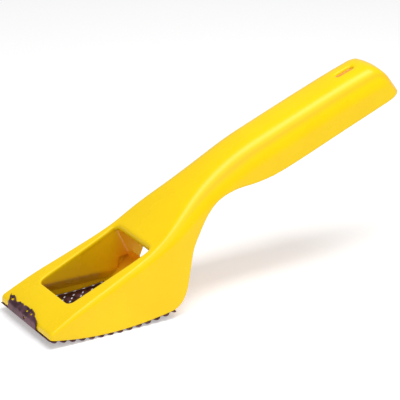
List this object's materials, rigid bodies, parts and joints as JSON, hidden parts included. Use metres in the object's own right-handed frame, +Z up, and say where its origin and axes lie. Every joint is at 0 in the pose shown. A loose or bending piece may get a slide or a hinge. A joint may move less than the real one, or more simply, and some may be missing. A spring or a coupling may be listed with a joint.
{
  "type": "painters hand shaver",
  "caption": "Hand shaver for paint, filler and wood: a moulded channel handle and head with a curved rasp blade hooked on the nose and screwed at the heel.",
  "frame": {"origin": "centre of the bottom face of the bounding box, in the working pose with the blade's chord level", "axes": "+X from the nose towards the end of the handle, +Y across the blade, +Z up away from the work"},
  "size_m": [0.1774, 0.0414, 0.0883],
  "materials": {
    "body_plastic": "glossy moulded ABS, saturated yellow",
    "blade_steel": "hardened tool steel, dark and slightly purple from heat treatment",
    "fastener_steel": "zinc plated steel"
  },
  "bodies": {
    "tool": {"body": "body_plastic", "nut": "fastener_steel"},
    "blade": {"blade": "blade_steel"},
    "washer": {"washer": "fastener_steel"},
    "screw": {"screw": "fastener_steel"}
  },
  "joints": [
    {"name": "clamp_travel", "type": "slide", "parent": "tool", "child": "washer", "axis": [0, 0, -1], "range_m": [0, 0.0075]},
    {"name": "screw_turn", "type": "hinge", "parent": "washer", "child": "screw", "pos_m": [-0.0236, 0, 0.01002], "axis": [0, 0, -1], "range_deg": [0, 3870]},
    {"name": "blade_swing", "type": "hinge", "parent": "tool", "child": "blade", "pos_m": [-0.08779, 0, 0.02002], "axis": [0, 1, 0], "range_deg": [0, 6]}
  ],
  "couplings": [
    {"joint": "screw_turn", "follows": "clamp_travel", "rad_per_m": 8976},
    {"joint": "blade_swing", "follows": "clamp_travel", "rad_per_m": 13.889}
  ]
}
